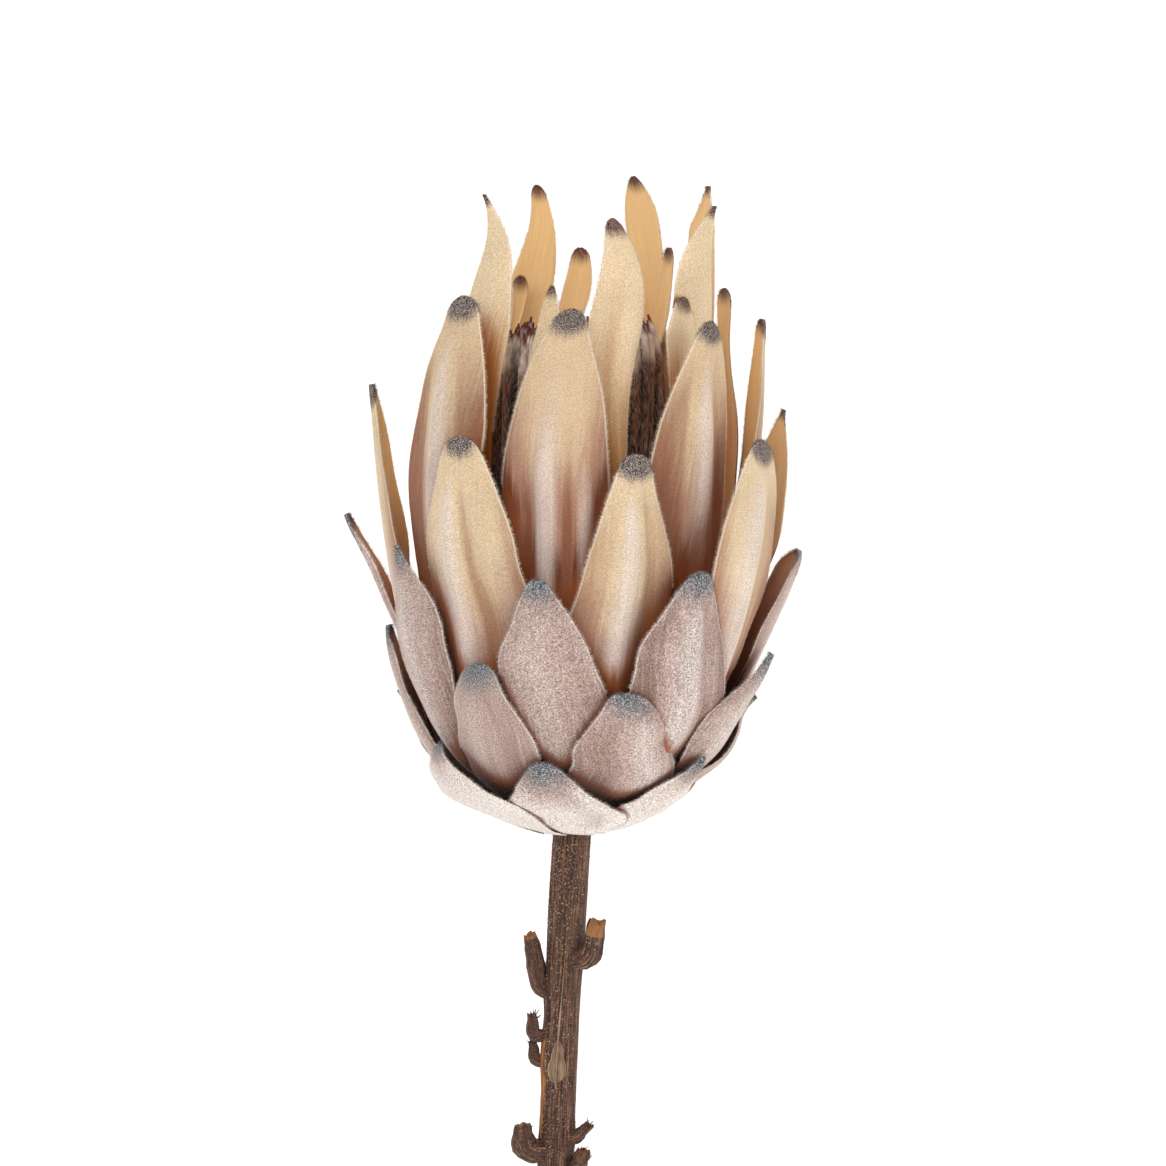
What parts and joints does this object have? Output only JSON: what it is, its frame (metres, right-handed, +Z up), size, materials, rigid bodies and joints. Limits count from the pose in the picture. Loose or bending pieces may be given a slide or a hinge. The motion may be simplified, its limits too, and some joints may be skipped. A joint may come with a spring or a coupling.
{
  "type": "dried king protea flower",
  "caption": "Dried king protea head of velvety bracts around a woolly floret mass, on a short cut woody stem, lying on its side.",
  "frame": {"origin": "middle of the flower's footprint, on the surface that it lies on", "axes": "+Y from the cut end of the stem towards the head, +X to the right seen from above, +Z up from the surface"},
  "size_m": [0.1066, 0.2849, 0.0965],
  "materials": {
    "stem_wood": "dry ribbed bark with torn leaf stubs",
    "grey_velvet": "mauve-grey leathery bract under salt-and-pepper velvet",
    "tan_velvet": "cream-tan leathery bract under short velvet, dark at the tip",
    "floret_wool": "matted dark brown and grey plant wool"
  },
  "bodies": {
    "root": {"stem": "stem_wood", "floret_mass": "floret_wool", "skirt_bract_1": "grey_velvet", "skirt_bract_2": "grey_velvet", "skirt_bract_3": "grey_velvet", "skirt_bract_4": "grey_velvet", "skirt_bract_5": "grey_velvet", "skirt_bract_6": "grey_velvet", "lower_bract_1": "grey_velvet", "lower_bract_2": "grey_velvet", "lower_bract_3": "grey_velvet", "lower_bract_4": "grey_velvet", "lower_bract_5": "grey_velvet", "lower_bract_6": "grey_velvet", "lower_bract_7": "grey_velvet", "lower_bract_8": "grey_velvet", "middle_bract_1": "grey_velvet", "middle_bract_2": "grey_velvet", "middle_bract_3": "grey_velvet", "middle_bract_4": "grey_velvet", "middle_bract_5": "grey_velvet", "middle_bract_6": "grey_velvet", "middle_bract_7": "grey_velvet", "middle_bract_8": "grey_velvet", "upper_bract_1": "tan_velvet", "upper_bract_2": "tan_velvet", "upper_bract_3": "tan_velvet", "upper_bract_4": "tan_velvet", "upper_bract_5": "tan_velvet", "upper_bract_6": "tan_velvet", "upper_bract_7": "tan_velvet", "tall_bract_1": "tan_velvet", "tall_bract_2": "tan_velvet", "tall_bract_3": "tan_velvet", "tall_bract_4": "tan_velvet", "tall_bract_5": "tan_velvet", "tall_bract_6": "tan_velvet", "tall_bract_7": "tan_velvet", "tall_bract_8": "tan_velvet", "inner_bract_1": "tan_velvet", "inner_bract_2": "tan_velvet", "inner_bract_3": "tan_velvet", "inner_bract_4": "tan_velvet", "inner_bract_5": "tan_velvet", "inner_bract_6": "tan_velvet", "inner_bract_7": "tan_velvet", "inner_bract_8": "tan_velvet", "inner_bract_9": "tan_velvet", "heart_bract_1": "tan_velvet", "heart_bract_2": "tan_velvet", "heart_bract_3": "tan_velvet", "heart_bract_4": "tan_velvet", "heart_bract_5": "tan_velvet", "heart_bract_6": "tan_velvet"}
  },
  "joints": []
}
